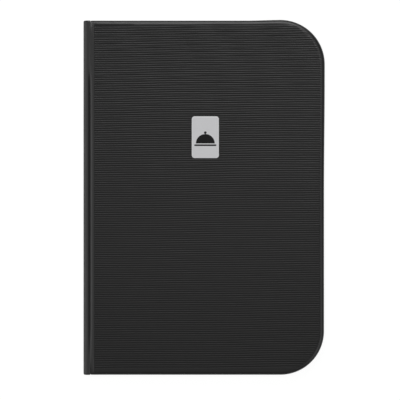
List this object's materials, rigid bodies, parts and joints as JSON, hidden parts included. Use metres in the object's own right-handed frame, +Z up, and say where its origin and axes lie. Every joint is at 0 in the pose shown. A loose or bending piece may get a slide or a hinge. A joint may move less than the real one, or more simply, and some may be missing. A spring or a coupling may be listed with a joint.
{
  "type": "menu cover",
  "caption": "Padded menu cover: rib-embossed covers on a soft spine, with a small metal plate and clear pockets for sheets on an elastic cord.",
  "frame": {"origin": "middle of the back cover's outer face, with the closed cover lying on it", "axes": "+X from the spine to the fore edge, +Y from foot to head, +Z up through the thickness"},
  "size_m": [0.231, 0.34, 0.0137],
  "materials": {
    "leatherette": "satin, ribbed",
    "lining": "matte, fine grain",
    "foam": "matte",
    "board": "matte",
    "plate": "satin",
    "tape": "matte",
    "elastic": "braided",
    "cord_metal": "polished",
    "clear_film": "clear, glossy"
  },
  "bodies": {
    "back_cover": {"back_skin": "leatherette", "back_padding": "foam", "back_board": "board", "back_lining": "lining"},
    "spine": {"spine_skin": "leatherette", "spine_board": "board", "spine_lining": "lining", "elastic_cord": "elastic", "cord_anchors": "cord_metal", "cord_eyelets": "cord_metal", "front_joint_strip": "leatherette", "back_joint_strip": "leatherette", "front_inner_hinge": "lining", "back_inner_hinge": "lining", "insert_fold_strip": "clear_film"},
    "front_cover": {"front_skin": "leatherette", "front_padding": "foam", "front_board": "board", "front_lining": "lining", "nameplate": "plate", "nameplate_adhesive": "tape"},
    "front_leaf": {"front_leaf_outer_film": "clear_film", "front_leaf_inner_film": "clear_film", "front_leaf_weld_seams": "clear_film"},
    "back_leaf": {"back_leaf_outer_film": "clear_film", "back_leaf_inner_film": "clear_film", "back_leaf_weld_seams": "clear_film"}
  },
  "joints": [
    {"name": "back_hinge", "type": "hinge", "parent": "back_cover", "child": "spine", "pos_m": [-0.1115, 0, 0.004], "axis": [0, -1, 0], "range_deg": [0, 90], "deforming": ["back_joint_strip", "back_inner_hinge"]},
    {"name": "front_hinge", "type": "hinge", "parent": "spine", "child": "front_cover", "pos_m": [-0.1115, 0, 0.0094], "axis": [0, -1, 0], "range_deg": [0, 90], "deforming": ["front_joint_strip", "front_inner_hinge"]},
    {"name": "front_leaf_turn", "type": "hinge", "parent": "spine", "child": "front_leaf", "pos_m": [-0.1101, 0, 0.0067], "axis": [0, -1, 0], "range_deg": [0, 90], "deforming": ["insert_fold_strip"]},
    {"name": "back_leaf_turn", "type": "hinge", "parent": "spine", "child": "back_leaf", "pos_m": [-0.1101, 0, 0.0067], "axis": [0, -1, 0], "range_deg": [-90, 0]}
  ],
  "couplings": [
    {"joint": "front_leaf_turn", "follows": "front_hinge", "ratio": 1},
    {"joint": "back_leaf_turn", "follows": "back_hinge", "ratio": -1}
  ]
}
